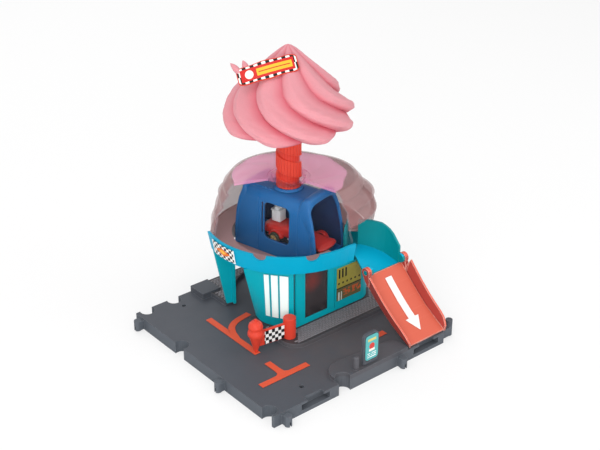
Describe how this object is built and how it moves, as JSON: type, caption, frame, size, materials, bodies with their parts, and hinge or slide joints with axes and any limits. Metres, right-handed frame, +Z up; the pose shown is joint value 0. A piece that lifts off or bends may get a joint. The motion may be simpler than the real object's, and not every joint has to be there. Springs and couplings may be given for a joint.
{
  "type": "toy car track set",
  "caption": "Square tray base with a round tower, twist-up lift cab on a screw column, swirl knob, side chute, folding ramp, swinging gate and a small toy car.",
  "frame": {"origin": "on the tower's vertical axis, at the underside of the tray base", "axes": "+Z up along the screw column, -Y towards the front edge with the kerb and the ramp's foot, +X to the right seen from the front"},
  "size_m": [0.2139, 0.2182, 0.2511],
  "materials": {
    "grey_plastic": "fine matt moulded",
    "teal_plastic": "satin moulded",
    "blue_plastic": "satin moulded",
    "red_plastic": "satin moulded",
    "orange_plastic": "satin moulded",
    "pink_plastic": "soft satin moulded",
    "pink_clear": "tinted clear",
    "brown_clear": "tinted clear",
    "brown_plastic": "satin moulded",
    "window_clear": "clear",
    "white_plastic": "satin moulded",
    "sticker": "printed film",
    "white_sticker": "white film",
    "orange_paint": "printed mark",
    "dark_plastic": "matt moulded",
    "tan_plastic": "satin moulded",
    "steel": "plain steel"
  },
  "bodies": {
    "base": {"base_tray": "grey_plastic", "menu_board": "grey_plastic", "menu_sticker": "sticker", "road_mark_left": "orange_paint", "road_mark_front": "orange_paint", "road_mark_ramp": "orange_paint", "front_wall": "teal_plastic", "wall_poster": "sticker", "door_pane": "brown_clear", "striped_wall": "teal_plastic", "stripe_left": "white_sticker", "stripe_middle": "white_sticker", "stripe_right": "white_sticker", "left_pillar": "teal_plastic", "back_left_pillar": "teal_plastic", "back_right_pillar": "teal_plastic", "right_pillar": "teal_plastic", "ring_band": "teal_plastic", "ring_badge": "sticker", "back_band": "teal_plastic", "dome_deck": "brown_plastic", "dome_shell": "brown_clear", "dome_window": "window_clear", "frosting_cap": "pink_clear", "cap_window": "window_clear", "chute": "teal_plastic", "gate_pin": "red_plastic"},
    "bush": {"guide_bush": "pink_clear"},
    "lift": {"screw_column": "red_plastic", "knob_screw": "steel", "swirl_knob": "pink_plastic", "swirl_plate": "pink_plastic", "sign_plate": "red_plastic", "sign_face": "sticker", "cab_hood": "blue_plastic", "cab_floor": "blue_plastic", "cab_hub": "blue_plastic", "cab_screw": "dark_plastic", "lift_plate_left": "brown_plastic", "lift_plate_right": "brown_plastic"},
    "car": {"car_body": "red_plastic", "car_chassis": "dark_plastic", "car_engine": "white_plastic"},
    "rear_wheels": {"rear_axle": "steel", "rear_left_wheel": "tan_plastic", "rear_right_wheel": "tan_plastic"},
    "front_wheels": {"front_axle": "steel", "front_left_wheel": "tan_plastic", "front_right_wheel": "tan_plastic"},
    "ramp_body": {"ramp": "orange_plastic", "ramp_arrow": "white_sticker"},
    "gate": {"gate_arm": "red_plastic", "gate_checks_front": "sticker", "gate_checks_back": "sticker"}
  },
  "joints": [
    {"name": "swirl_turn", "type": "hinge", "parent": "base", "child": "bush", "pos_m": [0, 0, 0.13], "axis": [0, 0, 1], "range_deg": [0, 795]},
    {"name": "swirl_lift", "type": "slide", "parent": "bush", "child": "lift", "axis": [0, 0, 1], "range_m": [-0.0456, 0.0001]},
    {"name": "car_roll", "type": "slide", "parent": "lift", "child": "car", "axis": [0.2334, -0.9724, 0], "range_m": [-0.012, 0]},
    {"name": "rear_axle_spin", "type": "hinge", "parent": "car", "child": "rear_wheels", "pos_m": [-0.0014, 0.00583, 0.0715], "axis": [0.9724, 0.2334, 0], "continuous": true},
    {"name": "front_axle_spin", "type": "hinge", "parent": "car", "child": "front_wheels", "pos_m": [0.00654, -0.02723, 0.0715], "axis": [0.9724, 0.2334, 0], "continuous": true},
    {"name": "ramp_fold", "type": "hinge", "parent": "base", "child": "ramp_body", "pos_m": [0.0415, -0.0828, 0.0612], "axis": [-1, 0, 0], "range_deg": [0, 110]},
    {"name": "gate_swing", "type": "hinge", "parent": "base", "child": "gate", "pos_m": [-0.0515, -0.0635, 0.0152], "axis": [0, 0, 1], "range_deg": [-40, 95]}
  ],
  "couplings": [
    {"joint": "swirl_lift", "follows": "swirl_turn", "m_per_rad": -0.0032792}
  ]
}
